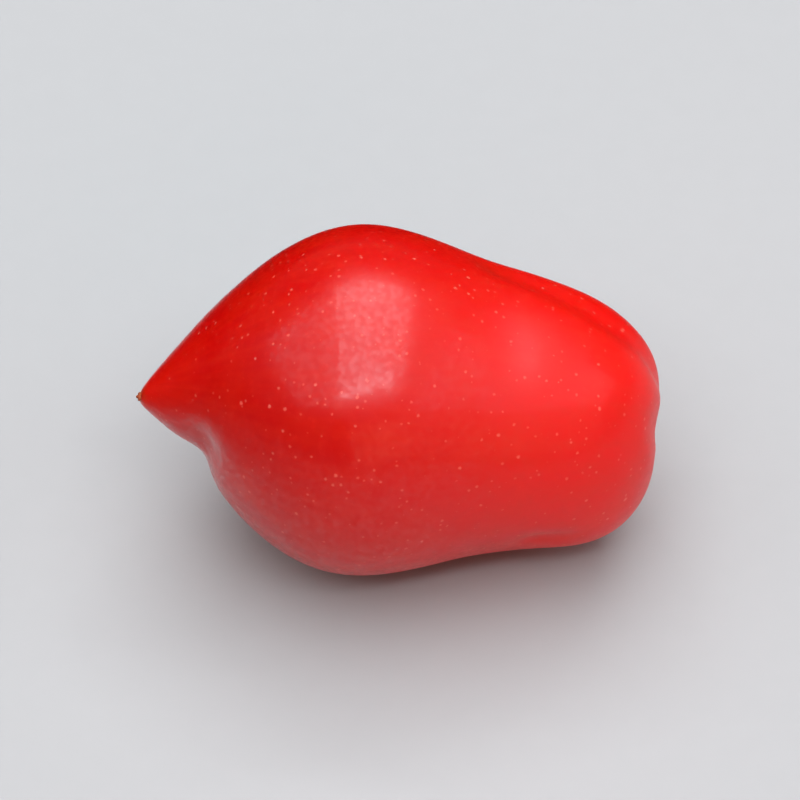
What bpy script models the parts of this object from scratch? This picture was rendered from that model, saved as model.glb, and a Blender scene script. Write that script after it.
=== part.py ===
"""One ripe grape tomato, picked and lying on its side.

The fruit is turned as a profile round its long axis, from the pointed blossom tip at -X to the cupped
stem end at +X. Then its lobes and furrows are pressed into the skin, its nipple is bent, and it is
laid down on its side as it would balance, on a small flat spot.

Metres, +Z up. The origin is at the middle of the fruit's footprint, on the surface it lies on. The
front is -Y. A clock angle goes round the fruit's axis: 0 is the top, and it grows toward the front.
"""

import math

import bmesh
import bpy
from mathutils import Matrix, Vector
from mathutils.geometry import interpolate_bezier, intersect_point_line

# Overall size
fruit_length = 0.0345
fruit_girth = 0.0234

# Blossom end, measured along the axis from the tip
tip_length = 0.0005
tip_width = 0.0019
nipple_length = 0.0042
nipple_width = 0.0100
belly_station = 0.0147

# Stem end, measured along the axis from its crest
waist_from_crest = 0.0109
waist_width = 0.0195
shoulder_from_crest = 0.0058
shoulder_width = 0.0170
crest_width = 0.0046
cup_depth = 0.0009
cup_floor_margin = 0.00035
scar_width = 0.0017
scar_height = 0.00015

# Which way the profile runs at its stations, in degrees: 0 is along the axis, 90 straight out from it
tip_heading = 47
nipple_heading = 50
waist_heading = -11
shoulder_heading = -18

# The nipple hooks to one side: its tip is off the axis by this much, and the bend ends at this station
hook_clock = 132
hook_offset = 0.0011
hook_end = 0.0040

# Lying down: how deep the flat spot is, and how far the tilts that are tried go either way, in degrees
flat_depth = 0.00013
most_tilt = 40
tilt_step = 0.1

# Fineness of the turned mesh
steps_round = 72
step_along = 0.0008

# What is pressed into the skin, or swells from it where the depth is negative: the end its path is
# measured from, the path as (distance along the skin, clock angle) places, then its width and depth.
relief = {
    "nipple_fold": ("tip", [(0.0066, 95), (0.0066, 132), (0.0066, 169)], 0.0015, 0.00078),
    "underside": ("stem", [(0.0165, 180)], 0.0054, -0.00100),
    "upper_lobe": ("stem", [(0.0075, 22), (0.0130, 24)], 0.0034, -0.00028),
    "lower_lobe": ("stem", [(0.0084, 128)], 0.0036, -0.00058),
    "waist_hollow": ("stem", [(0.0155, 127)], 0.0040, 0.00042),
    "waist_dent": ("stem", [(0.0118, 111), (0.0140, 109)], 0.0007, 0.00042),
    "back_furrow": ("stem", [(0.0052, -8), (0.0100, -14), (0.0180, -30)], 0.0012, 0.00042),
    "front_septum": ("stem", [(0.0014, 42), (0.0048, 42)], 0.0014, 0.00036),
    "back_septum": ("stem", [(0.0014, -138), (0.0048, -138)], 0.0014, 0.00036),
}

skin_colour = (0.62, 0.012, 0.006, 1.0)
skin_roughness = 0.24


def clock_direction(degrees):
    """The unit vector that points out from the axis at a clock angle."""
    angle = math.radians(degrees)
    return Vector((0.0, -math.sin(angle), math.cos(angle)))


def stretch(start, start_heading, end, end_heading):
    """Points of the curve between two stations, as near a round arc as the two headings allow.

    The start is left out, because it ends the stretch before.
    """
    span = end - start
    turn = math.radians(abs(end_heading - start_heading))
    share = 1 / 3 if turn < 0.01 else 2 / 3 * math.tan(turn / 4) / math.sin(turn / 2)
    reach = span.length * share
    leaving, arriving = (
        Vector((math.cos(math.radians(heading)), math.sin(math.radians(heading)))) * reach
        for heading in (start_heading, end_heading)
    )
    pieces = max(2, round(span.length / step_along))
    return interpolate_bezier(start, start + leaving, end - arriving, end, pieces + 1)[1:]


def fruit_profile():
    """The half outline as (station, radius) pairs, from the blossom tip to the middle of the stem scar."""
    cup_floor = fruit_length - cup_depth
    scar_top = cup_floor + scar_height
    tip = Vector((0.0, 0.0))
    tip_edge = Vector((tip_length, tip_width / 2))
    nipple_root = Vector((nipple_length, nipple_width / 2))
    belly = Vector((belly_station, fruit_girth / 2))
    waist = Vector((fruit_length - waist_from_crest, waist_width / 2))
    shoulder = Vector((fruit_length - shoulder_from_crest, shoulder_width / 2))
    crest = Vector((fruit_length, crest_width / 2))
    cup_edge = Vector((cup_floor, scar_width / 2 + cup_floor_margin))
    scar_edge = Vector((scar_top, scar_width / 2))
    scar_middle = Vector((scar_top, 0.0))
    points = [tip]
    points += stretch(tip, 90, tip_edge, tip_heading)
    points += stretch(tip_edge, tip_heading, nipple_root, nipple_heading)
    points += stretch(nipple_root, nipple_heading, belly, 0)
    points += stretch(belly, 0, waist, waist_heading)
    points += stretch(waist, waist_heading, shoulder, shoulder_heading)
    points += stretch(shoulder, shoulder_heading, crest, -90)
    points += stretch(crest, -90, cup_edge, -90)
    points += [scar_edge, scar_middle]
    return points


def turn_fruit(mesh, profile):
    """Spins the profile round the X axis into a closed skin, and merges its seam and both poles."""
    verts = [mesh.verts.new((station, 0.0, radius)) for station, radius in profile]
    edges = [mesh.edges.new(pair) for pair in zip(verts, verts[1:])]
    outline = verts + edges
    bmesh.ops.spin(mesh, geom=outline, cent=(0, 0, 0), axis=(1, 0, 0), angle=math.tau, steps=steps_round)
    bmesh.ops.remove_doubles(mesh, verts=mesh.verts, dist=1e-6)
    bmesh.ops.recalc_face_normals(mesh, faces=mesh.faces)


def skin_point(outline, distance, clock):
    """The point of the turned skin at a distance along it from the first point of the outline."""
    left = distance
    for start, end in zip(outline, outline[1:]):
        step = (end - start).length
        if step >= left:
            station, radius = start.lerp(end, left / step)
            return Vector((station, 0.0, 0.0)) + radius * clock_direction(clock)
        left -= step
    raise ValueError(f"a path runs {left} m past the end of the skin")


def gap_to_path(point, path):
    """The shortest distance from a point to a path of one or more points."""
    gaps = [(point - path[0]).length]
    for start, end in zip(path, path[1:]):
        foot, share = intersect_point_line(point, start, end)
        foot = start.lerp(end, min(max(share, 0.0), 1.0))
        gaps.append((point - foot).length)
    return min(gaps)


def press_relief(mesh, profile):
    """Moves the skin along its normals, by each feature's depth near its path."""
    mesh.normal_update()
    outlines = {"tip": profile, "stem": profile[::-1]}
    features = []
    for end, places, width, depth in relief.values():
        path = [skin_point(outlines[end], *place) for place in places]
        features.append((path, width, depth))
    moves = []
    for vert in mesh.verts:
        total = 0.0
        for path, width, depth in features:
            total += depth * math.exp(-((gap_to_path(vert.co, path) / width) ** 2))
        moves.append(-vert.normal * total)
    for vert, move in zip(mesh.verts, moves):
        vert.co += move


def hook_nipple(mesh):
    """Bends the nipple, so that its tip ends up off the fruit's axis."""
    side = clock_direction(hook_clock)
    for vert in mesh.verts:
        left = max(1 - vert.co.x / hook_end, 0.0)
        vert.co += side * hook_offset * left ** 1.5


def centre_of_mass(mesh):
    """The centre of mass of the closed skin, evenly filled."""
    volume = 0.0
    moment = Vector()
    for loops in mesh.calc_loop_triangles():
        first, second, third = (loop.vert.co for loop in loops)
        share = first.dot(second.cross(third))
        volume += share
        moment += share * (first + second + third) / 4
    return moment / volume


def rest_tilt(mesh):
    """The angle that the stem end sinks by, in degrees: there the centre of mass lies as low as it can.

    Where it is below 0, the stem end rises instead.
    """
    centre = centre_of_mass(mesh)

    def height(degrees):
        angle = math.radians(degrees)
        down = Vector((math.sin(angle), 0.0, -math.cos(angle)))
        return max((vert.co - centre).dot(down) for vert in mesh.verts)

    steps = round(most_tilt / tilt_step)
    return min((step * tilt_step for step in range(-steps, steps + 1)), key=height)


def lay_down(mesh):
    """Tilts the fruit, cuts its flat spot and stands the origin under the middle of its box."""
    tilt = Matrix.Rotation(math.radians(rest_tilt(mesh)), 3, "Y")
    bmesh.ops.rotate(mesh, verts=mesh.verts, cent=(0, 0, 0), matrix=tilt)
    floor = min(vert.co.z for vert in mesh.verts) + flat_depth
    cut = bmesh.ops.bisect_plane(
        mesh,
        geom=mesh.verts[:] + mesh.edges[:] + mesh.faces[:],
        dist=1e-6,
        plane_co=(0, 0, floor),
        plane_no=(0, 0, -1),
        clear_outer=True,
    )
    rim = [item for item in cut["geom_cut"] if isinstance(item, bmesh.types.BMEdge)]
    bmesh.ops.contextual_create(mesh, geom=rim)
    middle = [(min(side) + max(side)) / 2 for side in zip(*(vert.co[:2] for vert in mesh.verts))]
    bmesh.ops.translate(mesh, verts=mesh.verts, vec=(-middle[0], -middle[1], -floor))


def skin_material():
    """Waxy red skin."""
    material = bpy.data.materials.new("ripe_skin")
    material.use_nodes = True
    shader = material.node_tree.nodes["Principled BSDF"]
    shader.inputs["Base Color"].default_value = skin_colour
    shader.inputs["Roughness"].default_value = skin_roughness
    shader.inputs["Metallic"].default_value = 0.0
    return material


def make_tomato():
    """The whole fruit as one closed body."""
    profile = fruit_profile()
    mesh = bmesh.new()
    turn_fruit(mesh, profile)
    press_relief(mesh, profile)
    hook_nipple(mesh)
    lay_down(mesh)
    data = bpy.data.meshes.new("tomato")
    mesh.to_mesh(data)
    mesh.free()
    data.shade_smooth()
    data.set_sharp_from_angle(angle=math.radians(40))
    data.materials.append(skin_material())
    tomato = bpy.data.objects.new("tomato", data)
    bpy.context.scene.collection.objects.link(tomato)
    return tomato


for leftover in list(bpy.data.objects):
    bpy.data.objects.remove(leftover, do_unlink=True)

make_tomato()
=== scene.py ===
import math

import bmesh
import bpy
from mathutils import Matrix, Vector, noise
from mathutils.bvhtree import BVHTree


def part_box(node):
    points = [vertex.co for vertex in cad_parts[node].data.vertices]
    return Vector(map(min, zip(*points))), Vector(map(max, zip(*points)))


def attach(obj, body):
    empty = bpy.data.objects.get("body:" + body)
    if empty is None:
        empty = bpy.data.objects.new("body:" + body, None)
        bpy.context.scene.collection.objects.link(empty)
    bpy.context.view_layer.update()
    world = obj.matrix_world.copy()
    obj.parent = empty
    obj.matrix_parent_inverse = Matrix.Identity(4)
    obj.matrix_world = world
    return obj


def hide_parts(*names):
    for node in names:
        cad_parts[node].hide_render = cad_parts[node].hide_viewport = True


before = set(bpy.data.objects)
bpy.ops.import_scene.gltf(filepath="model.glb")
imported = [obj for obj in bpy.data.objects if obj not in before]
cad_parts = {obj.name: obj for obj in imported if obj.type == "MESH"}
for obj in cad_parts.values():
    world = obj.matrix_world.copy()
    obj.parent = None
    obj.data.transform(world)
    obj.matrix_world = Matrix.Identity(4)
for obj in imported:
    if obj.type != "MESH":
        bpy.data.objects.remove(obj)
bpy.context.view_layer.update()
print("frame loaded")

mm = 0.001


def linearColour(hexText):
    # sRGB hex to the linear values that the shader works in
    shares = [int(hexText[place:place + 2], 16) / 255 for place in (1, 3, 5)]
    return tuple(s / 12.92 if s <= 0.04045 else ((s + 0.055) / 1.055) ** 2.4 for s in shares) + (1.0,)


def addNode(tree, kind, links=None, **settings):
    # links holds each input by name or number: another node's output socket, or the value to set
    node = tree.nodes.new(kind)
    node.location = (210 * (len(tree.nodes) % 12), -260 * (len(tree.nodes) // 12))
    for name, value in settings.items():
        setattr(node, name, value)
    for key, value in (links or {}).items():
        if isinstance(value, bpy.types.NodeSocket):
            tree.links.new(value, node.inputs[key])
        else:
            node.inputs[key].default_value = value
    return node.outputs


def startMaterial(name):
    material = bpy.data.materials.new(name)
    material.use_nodes = True
    tree = material.node_tree
    return material, tree, tree.nodes["Principled BSDF"].inputs


def addPiece(name, mesh, material=None):
    piece = bpy.data.objects.new(name, mesh)
    if material:
        mesh.materials.append(material)
    bpy.context.scene.collection.objects.link(piece)
    print(name, "has", sum(len(face.vertices) - 2 for face in mesh.polygons), "triangles")
    return piece


# The fruit as packed. How its loose triangles become faces that can be subdivided:
meshMending = {
    "poleSpokes": 50,  # a point with more edges than this is an end of the fruit's turned shape
    "joinAngle": math.radians(40),
    "rimHeight": 0.05 * mm,  # the rim of the flat spot has slivers, whose points are joined
    "rimGap": 0.25 * mm,
}


def mendedCopy(node, mending):
    body = bmesh.new()
    body.from_mesh(node.data)
    bmesh.ops.remove_doubles(body, verts=body.verts, dist=1e-6)
    poles = [vert for vert in body.verts if len(vert.link_edges) > mending["poleSpokes"]]
    poles.sort(key=lambda vert: vert.co.x)
    floorHeight = min(vert.co.z for vert in body.verts)
    flatFaces = [face for face in body.faces if all(v.co.z < floorHeight + 1e-6 for v in face.verts)]
    bmesh.ops.dissolve_faces(body, faces=flatFaces)
    fans = {face for pole in poles for face in pole.link_faces}
    triangles = [face for face in body.faces if len(face.verts) == 3 and face not in fans]
    bmesh.ops.join_triangles(
        body,
        faces=triangles,
        angle_face_threshold=mending["joinAngle"],
        angle_shape_threshold=math.pi,
    )
    rim = [vert for vert in body.verts if vert.co.z < floorHeight + mending["rimHeight"]]
    bmesh.ops.remove_doubles(body, verts=rim, dist=mending["rimGap"])
    body.normal_update()
    ends = [(vert.co.copy(), vert.normal.copy()) for vert in (poles[0], poles[-1])]
    mesh = bpy.data.meshes.new("fruitShape")
    body.to_mesh(mesh)
    surface = BVHTree.FromBMesh(body)
    body.free()
    return mesh, surface, ends


fruitShape, fruitSurface, (blossomEnd, stemEnd) = mendedCopy(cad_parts["tomato"], meshMending)
fruitMiddle = sum(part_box("tomato"), Vector()) / 2
fruitAxis = stemEnd[1].normalized()
fruitReach = (stemEnd[0] - blossomEnd[0]).dot(fruitAxis)
# the fruit's own frame: X from the blossom tip to the stem scar, Y and Z across
fruitSide = Vector((0, 0, 1)).cross(fruitAxis).normalized()
fruitUp = fruitAxis.cross(fruitSide)
fruitTurn = Matrix((fruitAxis, fruitSide, fruitUp))
print("fruit axis", [round(share, 3) for share in fruitAxis], "reach", round(fruitReach / mm, 2), "mm")


def skinPlace(fromStem, clock):
    # the place on the skin this far before the stem end, at a clock angle: 0 is the top, 90 the front
    angle = math.radians(clock)
    outward = fruitUp * math.cos(angle) - fruitSide * math.sin(angle)
    return fruitSurface.ray_cast(stemEnd[0] - fruitAxis * fromStem, outward)[0]


skinLook = {
    "deepRed": "#B60100",
    # painted light: a brighter red for the stem end, standing in for the stronger light that falls there
    "paintedLitRed": "#D80600",
    "orangeRed": "#CC2206",
    "paleFleck": "#E87C68",
    "paleGrain": "#D02414",
    "yellowShoulder": "#DE9A3C",
    "brownTip": "#9A3A14",
    "paintedStemLight": (0.15, 0.95),  # painted light: where along the fruit the red starts to be painted brighter, standing in for the stronger light on the stem end, and where it is brightest
    "mottleWidth": 3.2 * mm,
    "streakWidth": 0.7 * mm,
    "streakLength": 7.0 * mm,
    "grainWidth": 0.5 * mm,
    # flecks of three sizes: the gap between them, how wide the largest is as a share of that gap, and how
    # far their colour covers the skin's
    "flecks": ((0.50 * mm, 0.32, 0.36), (0.9 * mm, 0.20, 0.48), (3.4 * mm, 0.055, 0.8)),
    "bareCells": 0.25,  # the share of the pattern's cells that has no fleck
    "smallestFleck": -0.05,  # below 0, so that flecks grow from nothing
    "fleckRim": 0.7,  # the share of the largest fleck's width that its rim fades over
    "fleckWaves": (0.25 * mm, 0.12 * mm),  # how wide and high the waves in a fleck's outline are
    "haloReach": (1.9 * mm, 0.8 * mm),  # where the colour round a scar starts, and where it is full
    "tipReach": (0.9 * mm, 0.3 * mm),
    "haloRaggedness": 0.9 * mm,
    "waxWidth": 1.1 * mm,
    "roughness": (0.285, 0.35),
    "stemRoughness": 0.12,  # what the stem end's roughness has more
    "dulling": (0.35, 0.85),  # where along the fruit the gloss starts to fade, and is weakest
    "peelWidth": 0.4 * mm,
    "peelDepth": 0.0015 * mm,
    "poreWidth": 0.4 * mm,
    "poreLevels": (0.38, 0.68),  # the pattern's levels where a pore's rim starts and ends
    "poreCoat": 0.08,
    "coat": (0.52, 0.26),  # between the pores, at the tip and at the stem end
}


def waxyTomatoSkin(look):
    # ripe tomato skin, grown: a smooth waxy cuticle over translucent flesh, so broad soft highlights over
    # a deep red that glows a little, with pale pinprick flecks and faint streaks along the fruit
    material, tree, shader = startMaterial("waxyTomatoSkin")
    place = addNode(tree, "ShaderNodeTexCoord")["Object"]
    blossomStart = stemEnd[0] - fruitAxis * fruitReach
    own = addNode(tree, "ShaderNodeMapping", {
        "Vector": place,
        "Rotation": fruitTurn.to_euler(),
        "Location": -(fruitTurn @ blossomStart),
    })[0]
    along = addNode(tree, "ShaderNodeSeparateXYZ", {0: own})["X"]

    # soft patches where the flesh under the skin is more orange
    mottle = addNode(tree, "ShaderNodeTexNoise",
                     {"Vector": own, "Scale": 1 / look["mottleWidth"], "Detail": 3.0, "Roughness": 0.6})[0]
    # streaks run from end to end: their pattern is fine round the fruit and coarse along it
    across = addNode(tree, "ShaderNodeVectorMath", {0: own, 1: (0, 1, 1)}, operation="MULTIPLY")[0]
    ring = addNode(tree, "ShaderNodeVectorMath", {0: across}, operation="NORMALIZE")[0]
    girthPlace = addNode(tree, "ShaderNodeVectorMath",
                         {0: ring, "Scale": fruitReach / 3 / look["streakWidth"]}, operation="SCALE")[0]
    streakPlace = addNode(tree, "ShaderNodeVectorMath",
                          {0: own, 1: (1 / look["streakLength"], 0, 0), 2: girthPlace},
                          operation="MULTIPLY_ADD")[0]
    streaks = addNode(tree, "ShaderNodeTexNoise", {"Vector": streakPlace, "Scale": 1.0, "Detail": 2.0})[0]
    # a fine pale grain under the whole skin
    grain = addNode(tree, "ShaderNodeTexNoise",
                    {"Vector": own, "Scale": 1 / look["grainWidth"], "Detail": 2.0, "Roughness": 0.6})[0]
    # each layer of colour: its pattern, the pattern's levels where it starts and is full, how far it covers
    # what is under it, and its colour
    layers = [
        (mottle, 0.30, 0.85, 0.30, "orangeRed"),
        (streaks, 0.35, 0.80, 0.20, "orangeRed"),
        (grain, 0.50, 0.85, 0.30, "paleGrain"),
    ]

    # a yellow star round the stem scar, and a brown ring round the blossom scar
    uneven = addNode(tree, "ShaderNodeMapRange", {
        "Value": streaks,
        "From Min": 0.2,
        "From Max": 0.8,
        "To Min": -look["haloRaggedness"],
        "To Max": look["haloRaggedness"],
    })[0]
    for end, reach, cover, colour in (
        (stemEnd[0], look["haloReach"], 0.8, "yellowShoulder"),
        (blossomEnd[0], look["tipReach"], 0.7, "brownTip"),
    ):
        gap = addNode(tree, "ShaderNodeVectorMath", {0: place, 1: end}, operation="DISTANCE")["Value"]
        raggedGap = addNode(tree, "ShaderNodeMath", {0: gap, 1: uneven}, operation="ADD")[0]
        layers.append((raggedGap, *reach, cover, colour))

    # pale flecks: a cell of the pattern has a fleck of its own size, or none
    waveWidth, waveHeight = look["fleckWaves"]
    waves = addNode(tree, "ShaderNodeTexNoise",
                    {"Vector": own, "Scale": 1 / waveWidth, "Detail": 1.0})["Color"]
    fleckPlace = addNode(tree, "ShaderNodeVectorMath", {0: waves, 1: (waveHeight,) * 3, 2: own},
                         operation="MULTIPLY_ADD")[0]
    for gap, widest, cover in look["flecks"]:
        cells = addNode(tree, "ShaderNodeTexVoronoi", {"Vector": fleckPlace, "Scale": 1 / gap})
        chance = addNode(tree, "ShaderNodeSeparateColor", {0: cells["Color"]})[0]
        size = addNode(tree, "ShaderNodeMapRange", {
            "Value": chance,
            "From Min": look["bareCells"],
            "To Min": look["smallestFleck"],
            "To Max": widest,
        }, interpolation_type="SMOOTHSTEP")[0]
        inside = addNode(tree, "ShaderNodeMath", {0: size, 1: cells["Distance"]}, operation="SUBTRACT")[0]
        layers.append((inside, 0.0, widest * look["fleckRim"], cover, "paleFleck"))

    # painted light: the red is painted brighter toward the stem end, standing in for the stronger light that
    # falls there, and the pointed end is the deepest red
    paintedStemLight = addNode(tree, "ShaderNodeMapRange", {
        "Value": along,
        "From Min": look["paintedStemLight"][0] * fruitReach,
        "From Max": look["paintedStemLight"][1] * fruitReach,
    }, interpolation_type="SMOOTHSTEP")[0]
    reds = {6: linearColour(look["deepRed"]), 7: linearColour(look["paintedLitRed"])}
    skin = addNode(tree, "ShaderNodeMix", {0: paintedStemLight, **reds}, data_type="RGBA")[2]
    for pattern, start, full, cover, colour in layers:
        share = addNode(tree, "ShaderNodeMapRange",
                        {"Value": pattern, "From Min": start, "From Max": full, "To Max": cover},
                        interpolation_type="SMOOTHSTEP")[0]
        skin = addNode(tree, "ShaderNodeMix", {0: share, 6: skin, 7: linearColour(look[colour])},
                       data_type="RGBA")[2]

    # the wax is a little duller in patches, and toward the stem end, so a highlight has a soft uneven edge
    wax = addNode(tree, "ShaderNodeTexNoise",
                  {"Vector": own, "Scale": 1 / look["waxWidth"], "Detail": 2.0})[0]
    gloss = addNode(tree, "ShaderNodeMapRange", {
        "Value": wax,
        "From Min": 0.3,
        "From Max": 0.7,
        "To Min": look["roughness"][0],
        "To Max": look["roughness"][1],
    })[0]
    shoulder = {
        "Value": along,
        "From Min": look["dulling"][0] * fruitReach,
        "From Max": look["dulling"][1] * fruitReach,
    }
    dulled = addNode(tree, "ShaderNodeMapRange", {**shoulder, "To Max": look["stemRoughness"]},
                     interpolation_type="SMOOTHSTEP")[0]
    roughness = addNode(tree, "ShaderNodeMath", {0: gloss, 1: dulled}, operation="ADD")[0]
    # the wax is thin at its pores, which stipple the gloss: they are finer than can show, so drawn wide
    thickest = addNode(tree, "ShaderNodeMapRange",
                       {**shoulder, "To Min": look["coat"][0], "To Max": look["coat"][1]},
                       interpolation_type="SMOOTHSTEP")[0]
    pores = addNode(tree, "ShaderNodeTexNoise",
                    {"Vector": own, "Scale": 1 / look["poreWidth"], "Detail": 1.0})[0]
    coat = addNode(tree, "ShaderNodeMapRange", {
        "Value": pores,
        "From Min": look["poreLevels"][0],
        "From Max": look["poreLevels"][1],
        "To Min": look["poreCoat"],
        "To Max": thickest,
    }, interpolation_type="SMOOTHSTEP")[0]

    # skin cells, drawn several times as wide as they are
    peel = addNode(tree, "ShaderNodeTexNoise",
                   {"Vector": own, "Scale": 1 / look["peelWidth"], "Detail": 2.0})[0]
    bump = addNode(tree, "ShaderNodeBump",
                   {"Height": peel, "Strength": 1.0, "Distance": look["peelDepth"]})[0]

    tree.links.new(skin, shader["Base Color"])
    tree.links.new(roughness, shader["Roughness"])
    tree.links.new(coat, shader["Coat Weight"])
    tree.links.new(bump, shader["Normal"])
    shader["IOR"].default_value = 1.38
    shader["Subsurface Weight"].default_value = 0.9
    shader["Subsurface Radius"].default_value = (1.0, 0.12, 0.08)
    shader["Subsurface Scale"].default_value = 3.0 * mm
    shader["Coat Roughness"].default_value = 0.12
    shader["Coat IOR"].default_value = 1.45
    return material


skinSizes = {
    "Fineness": 2,
    "Smoothing": 6,
    "Seed": 3.0,
    "Lump Width": 6.0 * mm,
    "Lump Height": 0.05 * mm,
    "Scar Middle": stemEnd[0],
    "Fruit Axis": fruitAxis,
    "Folds": 1.9,
    "Fold Depth": 0.14 * mm,
    "Fold Rim Level": 0.46,
    "Fold Floor Level": 0.62,
    "Folds Start": 0.9 * mm,
    "Folds Deepen": 1.6,  # they are full at this many times the distance they start at
    "Folds End": 4.2 * mm,
    "Smooth Below": 1.2 * mm,
    "Skin": waxyTomatoSkin(skinLook),
}
# swellings of the skin, and hollows where the height is below 0: how far each is before the stem end and
# its clock angle, then its reach and height
skinMarks = {
    "shoulderSwelling": (3.2 * mm, 26, 4.4 * mm, 0.16 * mm),
    "foldPimple": (29.0 * mm, 118, 0.9 * mm, 0.07 * mm),
    "backHollow": (17.0 * mm, -95, 5.0 * mm, -0.10 * mm),
    "backPimple": (22.0 * mm, -120, 0.8 * mm, 0.05 * mm),
}


def startTree(name, sizes):
    # a Geometry Nodes tree with one named input for each size
    tree = bpy.data.node_groups.new(name, "GeometryNodeTree")
    tree.interface.new_socket("Geometry", in_out="INPUT", socket_type="NodeSocketGeometry")
    tree.interface.new_socket("Geometry", in_out="OUTPUT", socket_type="NodeSocketGeometry")
    kinds = {int: "NodeSocketInt", float: "NodeSocketFloat", Vector: "NodeSocketVector"}
    for label, value in sizes.items():
        kind = kinds.get(type(value), "NodeSocketMaterial")
        tree.interface.new_socket(label, in_out="INPUT", socket_type=kind)
    return tree, tree.nodes.new("NodeGroupInput").outputs


def skinTree(sizes, marks):
    tree, given = startTree("tomatoSkin", sizes)
    fine = addNode(tree, "GeometryNodeSubdivisionSurface",
                   {"Mesh": given["Geometry"], "Level": given["Fineness"]})[0]
    position = addNode(tree, "GeometryNodeInputPosition")[0]
    normal = addNode(tree, "GeometryNodeInputNormal")[0]
    # the turned mesh's faint facets are smoothed away
    evened = addNode(tree, "GeometryNodeBlurAttribute",
                     {"Value": position, "Iterations": given["Smoothing"]},
                     data_type="FLOAT_VECTOR")[0]
    even = addNode(tree, "GeometryNodeSetPosition", {"Geometry": fine, "Position": evened})[0]

    # low lumps of an uneven growth
    lumpScale = addNode(tree, "ShaderNodeMath", {0: 1.0, 1: given["Lump Width"]}, operation="DIVIDE")[0]
    lumps = addNode(tree, "ShaderNodeTexNoise",
                    {"Vector": position, "W": given["Seed"], "Scale": lumpScale, "Detail": 1.0},
                    noise_dimensions="4D")[0]
    rise = addNode(tree, "ShaderNodeMapRange",
                   {"Value": lumps, "From Min": 0.5, "To Max": given["Lump Height"]}, clamp=False)[0]
    for fromStem, clock, reach, height in marks.values():
        gap = addNode(tree, "ShaderNodeVectorMath", {0: position, 1: skinPlace(fromStem, clock)},
                      operation="DISTANCE")["Value"]
        mark = addNode(tree, "ShaderNodeMapRange",
                       {"Value": gap, "From Max": reach, "To Min": height, "To Max": 0.0},
                       interpolation_type="SMOOTHERSTEP")[0]
        rise = addNode(tree, "ShaderNodeMath", {0: rise, 1: mark}, operation="ADD")[0]

    # folds run out from the stem scar, where the skin was gathered to its stalk
    offset = addNode(tree, "ShaderNodeVectorMath", {0: position, 1: given["Scar Middle"]},
                     operation="SUBTRACT")[0]
    axial = addNode(tree, "ShaderNodeVectorMath", {0: offset, 1: given["Fruit Axis"]},
                    operation="PROJECT")[0]
    across = addNode(tree, "ShaderNodeVectorMath", {0: offset, 1: axial}, operation="SUBTRACT")[0]
    ring = addNode(tree, "ShaderNodeVectorMath", {0: across}, operation="NORMALIZE")[0]
    folds = addNode(tree, "ShaderNodeTexNoise",
                    {"Vector": ring, "W": given["Seed"], "Scale": given["Folds"], "Detail": 1.0},
                    noise_dimensions="4D")[0]
    depth = addNode(tree, "ShaderNodeMapRange", {
        "Value": folds,
        "From Min": given["Fold Rim Level"],
        "From Max": given["Fold Floor Level"],
        "To Max": given["Fold Depth"],
    }, interpolation_type="SMOOTHSTEP")[0]
    gap = addNode(tree, "ShaderNodeVectorMath", {0: offset}, operation="LENGTH")["Value"]
    deepest = addNode(tree, "ShaderNodeMath", {0: given["Folds Start"], 1: given["Folds Deepen"]},
                      operation="MULTIPLY")[0]
    deepening = addNode(tree, "ShaderNodeMapRange",
                        {"Value": gap, "From Min": given["Folds Start"], "From Max": deepest},
                        interpolation_type="SMOOTHSTEP")[0]
    strength = addNode(tree, "ShaderNodeMapRange", {
        "Value": gap,
        "From Min": deepest,
        "From Max": given["Folds End"],
        "To Min": deepening,
        "To Max": 0.0,
    }, interpolation_type="SMOOTHSTEP")[0]
    fold = addNode(tree, "ShaderNodeMath", {0: depth, 1: strength}, operation="MULTIPLY")[0]
    rise = addNode(tree, "ShaderNodeMath", {0: rise, 1: fold}, operation="SUBTRACT")[0]

    # near the flat spot the skin stays as it is
    height = addNode(tree, "ShaderNodeSeparateXYZ", {0: position})["Z"]
    lifted = addNode(tree, "ShaderNodeMapRange",
                     {"Value": height, "From Max": given["Smooth Below"], "To Max": rise},
                     interpolation_type="SMOOTHSTEP")[0]
    shift = addNode(tree, "ShaderNodeVectorMath", {0: normal, "Scale": lifted}, operation="SCALE")[0]
    shaped = addNode(tree, "GeometryNodeSetPosition", {"Geometry": even, "Offset": shift})[0]
    smooth = addNode(tree, "GeometryNodeSetShadeSmooth", {"Geometry": shaped})[0]
    # instances would be made real here, because the export drops them, and the finish is set last
    real = addNode(tree, "GeometryNodeRealizeInstances", {"Geometry": smooth})[0]
    finished = addNode(tree, "GeometryNodeSetMaterial", {"Geometry": real, "Material": given["Skin"]})[0]
    addNode(tree, "NodeGroupOutput", {"Geometry": finished})
    return tree


def runTree(startMesh, tree, sizes):
    # evaluates the tree on a start mesh, and keeps the result as a plain mesh with no modifier
    source = bpy.data.objects.new("source", startMesh)
    bpy.context.scene.collection.objects.link(source)
    modifier = source.modifiers.new("shape", "NODES")
    modifier.node_group = tree
    for item in tree.interface.items_tree:
        if item.in_out == "INPUT" and item.name in sizes:
            modifier[item.identifier] = sizes[item.name]
    depsgraph = bpy.context.evaluated_depsgraph_get()
    mesh = bpy.data.meshes.new_from_object(source.evaluated_get(depsgraph), depsgraph=depsgraph)
    bpy.data.objects.remove(source)
    return mesh


tomatoSkin = addPiece("tomatoSkin", runTree(fruitShape, skinTree(skinSizes, skinMarks), skinSizes))
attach(tomatoSkin, "root")
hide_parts("tomato")


corkLook = {
    "tan": "#A67C4A",
    "darkBrown": "#4A2E16",
    "greenish": "#8A8048",
    "grainWidth": 0.12 * mm,
    "patchWidth": 0.5 * mm,
}
# the blossom's scar is redder, because it is only a dry film over the skin
filmLook = {
    **corkLook,
    "tan": "#B4552E",
    "darkBrown": "#64220E",
    "greenish": "#9A6232",
}


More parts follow.
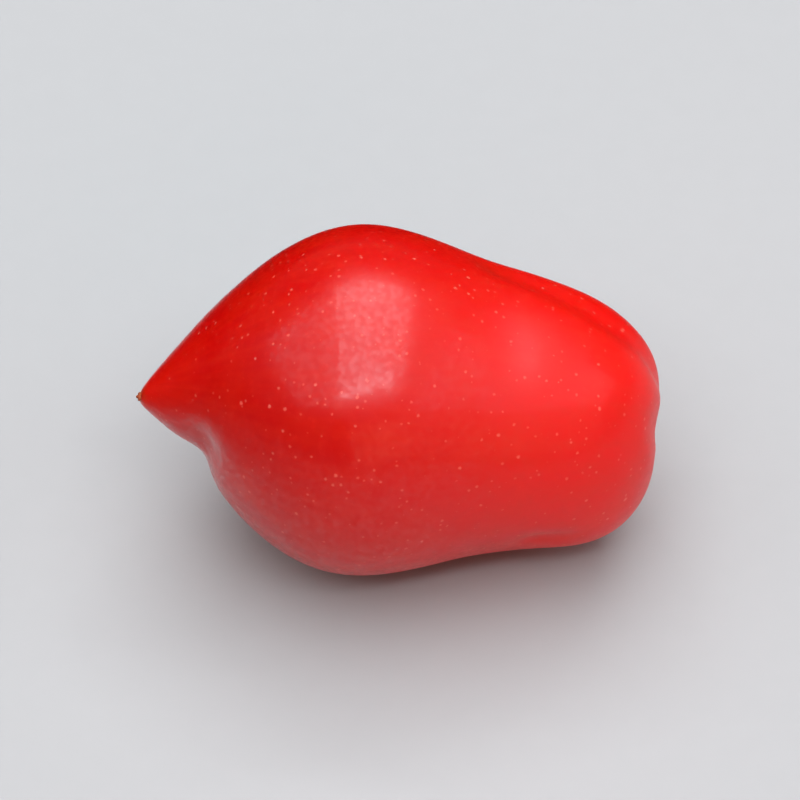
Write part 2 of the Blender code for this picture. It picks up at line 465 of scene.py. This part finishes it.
def driedCork(name, look):
    # a healed scar: dry cork, matt and fibrous, tan with brown hollows
    material, tree, shader = startMaterial(name)
    place = addNode(tree, "ShaderNodeTexCoord")["Object"]
    grain = addNode(tree, "ShaderNodeTexNoise",
                    {"Vector": place, "Scale": 1 / look["grainWidth"], "Detail": 4.0, "Roughness": 0.7})[0]
    patches = addNode(tree, "ShaderNodeTexNoise",
                      {"Vector": place, "Scale": 1 / look["patchWidth"], "Detail": 2.0})[0]
    cork = linearColour(look["darkBrown"])
    for pattern, start, full, cover, colour in (
        (grain, 0.35, 0.62, 1.0, "tan"),
        (patches, 0.50, 0.65, 0.5, "greenish"),
    ):
        share = addNode(tree, "ShaderNodeMapRange",
                        {"Value": pattern, "From Min": start, "From Max": full, "To Max": cover},
                        interpolation_type="SMOOTHSTEP")[0]
        cork = addNode(tree, "ShaderNodeMix", {0: share, 6: cork, 7: linearColour(look[colour])},
                       data_type="RGBA")[2]
    roughness = addNode(tree, "ShaderNodeMapRange",
                        {"Value": grain, "From Min": 0.3, "From Max": 0.7, "To Min": 0.95, "To Max": 0.7})[0]
    bump = addNode(tree, "ShaderNodeBump", {"Height": grain, "Strength": 0.6, "Distance": 0.04 * mm})[0]
    tree.links.new(cork, shader["Base Color"])
    tree.links.new(roughness, shader["Roughness"])
    tree.links.new(bump, shader["Normal"])
    shader["IOR"].default_value = 1.4
    return material


stemScarSizes = {
    "radius": 0.88 * mm,
    "raggedness": 0.28,
    "edgeLobes": 1.9,
    "domeHeight": 0.10 * mm,
    "plugHeight": 0.12 * mm,
    "plugSteepness": 9,
    "groovePlace": 0.5,  # as a share of the radius
    "grooveDepth": 0.8,  # as a share of the plug's height
    "grooveSteepness": 40,
    "fibres": 5.0,
    "fibreHeight": 0.14 * mm,
    "fibreDrift": 3,  # how far the fibres' pattern changes from the middle to the edge
    "fibreRise": 3,  # the fibres are full height a third of the way out
    "fibreEnd": 6,  # the higher this power is, the nearer the edge they sink
    "sunk": 0.25 * mm,
    "seed": 1.7,
    "rings": 28,
    "steps": 96,
}
blossomScarSizes = {
    **stemScarSizes,
    "radius": 0.30 * mm,
    "raggedness": 0.35,
    "domeHeight": 0.07 * mm,
    "plugHeight": 0.10 * mm,
    "fibres": 3.0,
    "fibreHeight": 0.07 * mm,
    "sunk": 0.18 * mm,
    "seed": 5.1,
    "rings": 20,
    "steps": 60,
}


def scarMesh(sizes, place, direction):
    # a closed lens: rings of points run out from a raised plug, over a groove with fibres across it, to an
    # uneven edge, and then the last ring and the middle of the underside are sunk in the skin
    turn = direction.to_track_quat("Z", "Y").to_matrix()
    lens = bmesh.new()
    seed = Vector((0, 0, sizes["seed"]))
    top = lens.verts.new(turn @ Vector((0, 0, sizes["domeHeight"] + sizes["plugHeight"])) + place)
    rings = []
    for ring in range(1, sizes["rings"] + 1):
        share = ring / sizes["rings"]
        plug = math.exp(-sizes["plugSteepness"] * share ** 2)
        groove = math.exp(-sizes["grooveSteepness"] * (share - sizes["groovePlace"]) ** 2)
        middle = sizes["plugHeight"] * (plug - sizes["grooveDepth"] * groove)
        dome = sizes["domeHeight"] * (1 - share ** 2)
        points = []
        for step in range(sizes["steps"]):
            angle = math.tau * step / sizes["steps"]
            ahead = Vector((math.cos(angle), math.sin(angle), 0))
            # a fractal's waves get finer by twos, and its last number is how many there are
            edge = noise.fractal(ahead * sizes["edgeLobes"] + seed, 1.0, 2.0, 3)
            reach = sizes["radius"] * (1 + sizes["raggedness"] * edge)
            fibrePlace = ahead * sizes["fibres"] + Vector((0, 0, sizes["fibreDrift"] * share)) + seed
            rising = min(1, sizes["fibreRise"] * share)
            fibre = sizes["fibreHeight"] * noise.fractal(fibrePlace, 1.0, 2.0, 2) * rising
            height = middle + dome + fibre * (1 - share ** sizes["fibreEnd"])
            point = ahead * reach * share + Vector((0, 0, height))
            points.append(lens.verts.new(turn @ point + place))
        rings.append(points)
    down = turn @ Vector((0, 0, -sizes["sunk"]))
    rings.append([lens.verts.new(vert.co + down) for vert in rings[-1]])
    bottom = lens.verts.new(place + down)
    for step in range(sizes["steps"]):
        after = (step + 1) % sizes["steps"]
        lens.faces.new((top, rings[0][step], rings[0][after]))
        lens.faces.new((bottom, rings[-1][after], rings[-1][step]))
        for inner, outer in zip(rings, rings[1:]):
            lens.faces.new((inner[step], outer[step], outer[after], inner[after]))
    bmesh.ops.recalc_face_normals(lens, faces=lens.faces)
    mesh = bpy.data.meshes.new("scar")
    lens.to_mesh(mesh)
    lens.free()
    mesh.shade_smooth()
    return mesh


for name, sizes, end, finish in (
    ("stemScar", stemScarSizes, stemEnd, driedCork("driedCork", corkLook)),
    ("blossomScar", blossomScarSizes, blossomEnd, driedCork("driedCorkFilm", filmLook)),
):
    scar = addPiece(name, scarMesh(sizes, *end), finish)
    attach(scar, "root")


studio = {
    "floorRadius": 3.0,
    "floorColour": "#A6A6A4",
    "fibreWidth": 2.0 * mm,
    "fibreShade": 0.97,
    "feltColour": "#5A0402",
    "cameraElevation": 48.0,
    "cameraDistance": 0.443,
    "lensLength": 300.0,
    "worldColour": "#B9BCC0",
    "worldStrength": 0.03,
    "horizonStrength": 0.35,
    "glowReach": 0.45,
    "backdropStrength": 1.0,
}
# each light: where it stands, in metres from the fruit, its two sides, its tilt from straight down and its
# turn from above in degrees, its power in watts and its colour
softLights = {
    "mainSoftbox": ((0.07, 0.07, 1.0), (1.02, 1.62), (0, 0), 19.5, "#F4F8FF"),
    "leftSoftbox": ((-1.22, -0.17, 1.0), (1.50, 1.75), (0, 0), 10.5, "#F4F8FF"),
    "rightSoftbox": ((1.45, -0.35, 1.0), (1.20, 1.50), (0, 0), 8.5, "#F4F8FF"),
    "frontStrip": ((-0.02, -0.66, 1.0), (0.95, 0.14), (0, 17), 3.8, "#F4F8FF"),
    "rearStrip": ((0.06, 0.74, 1.0), (0.95, 0.12), (0, -8), 4.2, "#F4F8FF"),
    "warmFill": ((0.45, -1.05, 0.42), (1.50, 0.60), (70, 23), 4.0, "#FFAE98"),
}
# the flag's arc in degrees from +X towards +Y, how far it stands from the fruit's middle, how solid it is at
# each height, and how much of its arc fades out at each end
flag = {
    "arc": (28.0, 265.0),
    "reach": (32.0 * mm, 24.0 * mm),
    "heights": ((0.0, 0), (9.0 * mm, 1), (21.0 * mm, 1), (27.0 * mm, 0)),
    "fade": (0.06, 0.35),
    "steps": 36,
}


def paperFloor():
    # matt white card, pressed from fibres: pale and even, with the least tooth
    material, tree, shader = startMaterial("mattCard")
    place = addNode(tree, "ShaderNodeTexCoord")["Object"]
    fibres = addNode(tree, "ShaderNodeTexNoise",
                     {"Vector": place, "Scale": 1 / studio["fibreWidth"], "Detail": 3.0})[0]
    pale = linearColour(studio["floorColour"])
    darker = tuple(share * studio["fibreShade"] for share in pale)
    card = addNode(tree, "ShaderNodeMix", {0: fibres, 6: pale, 7: darker}, data_type="RGBA")[2]
    tree.links.new(card, shader["Base Color"])
    shader["Roughness"].default_value = 0.8
    floor = bmesh.new()
    bmesh.ops.create_circle(floor, cap_ends=True, segments=96, radius=studio["floorRadius"])
    mesh = bpy.data.meshes.new("floor")
    floor.to_mesh(mesh)
    floor.free()
    return addPiece("floor", mesh, material)


def darkFlag():
    # a low wall of dark red felt behind the fruit and to its left: it shows only in the gloss, where it
    # keeps the reds deep, as the other fruits of a heap do, and it fades out at its edges
    material, tree, shader = startMaterial("darkRedFelt")
    shader["Base Color"].default_value = linearColour(studio["feltColour"])
    shader["Roughness"].default_value = 1.0
    shader["Specular IOR Level"].default_value = 0.0
    solid = addNode(tree, "ShaderNodeAttribute", attribute_name="solid")["Fac"]
    tree.links.new(solid, shader["Alpha"])
    first, last = (math.radians(angle) for angle in flag["arc"])
    wall = bmesh.new()
    solidity = wall.verts.layers.float.new("solid")
    rims = []
    for height, solidThere in flag["heights"]:
        rim = []
        for step in range(flag["steps"] + 1):
            share = step / flag["steps"]
            angle = first + (last - first) * share
            across = flag["reach"][0] * math.cos(angle)
            behind = flag["reach"][1] * math.sin(angle)
            vert = wall.verts.new((across, behind, height))
            vert[solidity] = min(share / flag["fade"][0], (1 - share) / flag["fade"][1], solidThere)
            rim.append(vert)
        rims.append(rim)
    for lower, upper in zip(rims, rims[1:]):
        for step in range(flag["steps"]):
            wall.faces.new((lower[step], lower[step + 1], upper[step + 1], upper[step]))
    mesh = bpy.data.meshes.new("darkFlag")
    wall.to_mesh(mesh)
    wall.free()
    piece = addPiece("darkFlag", mesh, material)
    piece.visible_camera = False
    piece.visible_diffuse = False
    piece.visible_shadow = False
    return piece


def standLight(name, place, sides, turns, power, colour):
    lamp = bpy.data.lights.new(name, "AREA")
    lamp.shape = "RECTANGLE"
    lamp.size, lamp.size_y = sides
    lamp.energy = power
    lamp.color = linearColour(colour)[:3]
    light = bpy.data.objects.new(name, lamp)
    light.location = place
    light.rotation_euler = (math.radians(turns[0]), 0, math.radians(turns[1]))
    bpy.context.scene.collection.objects.link(light)


def studioAir():
    # the backdrop looks pale behind the floor's far edge, but it lights the fruit only a little, and from
    # low down
    world = bpy.data.worlds.new("studioAir")
    world.use_nodes = True
    tree = world.node_tree
    seen = addNode(tree, "ShaderNodeLightPath")["Is Camera Ray"]
    direction = addNode(tree, "ShaderNodeTexCoord")["Generated"]
    glow = addNode(tree, "ShaderNodeMapRange", {
        "Value": addNode(tree, "ShaderNodeSeparateXYZ", {0: direction})["Z"],
        "From Max": studio["glowReach"],
        "To Min": studio["horizonStrength"],
        "To Max": studio["worldStrength"],
    }, interpolation_type="SMOOTHSTEP")[0]
    strength = addNode(tree, "ShaderNodeMix", {0: seen, 2: glow, 3: studio["backdropStrength"]})[0]
    background = tree.nodes["Background"].inputs
    background["Color"].default_value = linearColour(studio["worldColour"])
    tree.links.new(strength, background["Strength"])
    return world


paperFloor()
darkFlag()
for name, settings in softLights.items():
    standLight(name, *settings)
bpy.context.scene.world = studioAir()

raised = math.radians(studio["cameraElevation"])
back = Vector((0, -math.cos(raised), math.sin(raised)))
camera = bpy.data.objects.new("camera", bpy.data.cameras.new("camera"))
camera.data.lens = studio["lensLength"]
camera.data.clip_start = 0.01
camera.location = fruitMiddle + back * studio["cameraDistance"]
camera.rotation_euler = back.to_track_quat("Z", "Y").to_euler()
bpy.context.scene.collection.objects.link(camera)
bpy.context.scene.camera = camera
bpy.context.scene.view_settings.view_transform = "Standard"
print("stage ready")
